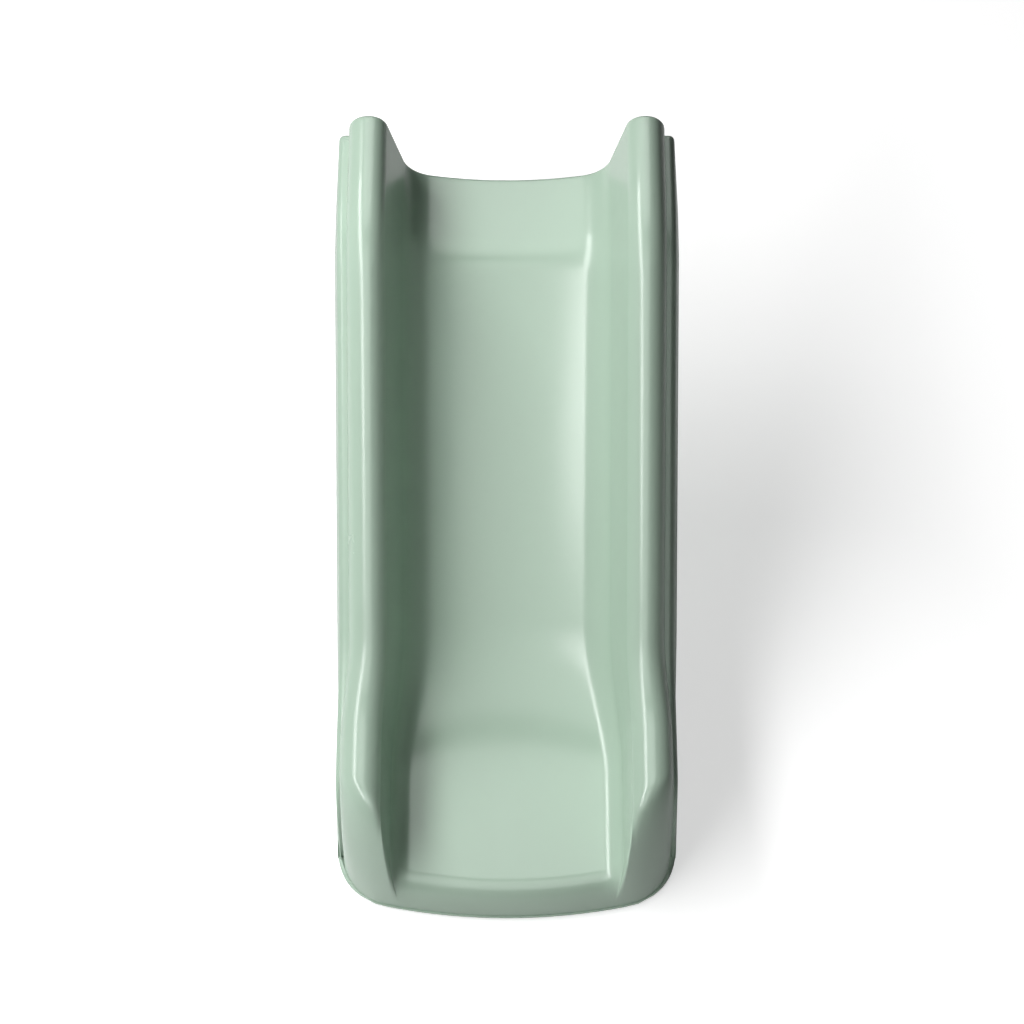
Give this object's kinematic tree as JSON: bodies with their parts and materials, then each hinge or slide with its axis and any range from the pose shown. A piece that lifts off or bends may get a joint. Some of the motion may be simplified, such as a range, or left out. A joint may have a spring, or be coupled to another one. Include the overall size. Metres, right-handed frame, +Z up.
{
  "type": "straight slide",
  "caption": "Straight moulded toddler slide chute with rolled rims, level entry, curved run-out and rounded foot; bolts to a deck at the top and rests on pads at the foot.",
  "frame": {"origin": "centre of the four deck bolts, on the flat rear face", "axes": "+Z is up, +Y points out of the rear face towards the deck, X is across the slide; the ground is at z = -0.406"},
  "size_m": [0.48, 0.9199, 0.601],
  "materials": {
    "chute_plastic": "semi-gloss sage green moulded polyethylene",
    "base_plastic": "semi-gloss sage green moulded polyethylene",
    "board": "plain birch plywood, cut edges",
    "insert_brass": "turned brass",
    "screw_steel": "zinc-plated steel",
    "pad_rubber": "matt black rubber"
  },
  "bodies": {
    "root": {"chute_shell": "chute_plastic", "under_shell": "base_plastic", "platform_former": "board", "slope_former_1": "board", "slope_former_2": "board", "slope_former_3": "board", "slope_former_4": "board", "exit_former": "board", "rear_bulkhead": "board", "deck_inserts": "insert_brass", "side_screws": "screw_steel", "floor_screws": "screw_steel", "foot_pad_left": "pad_rubber", "foot_pad_right": "pad_rubber"}
  },
  "joints": []
}
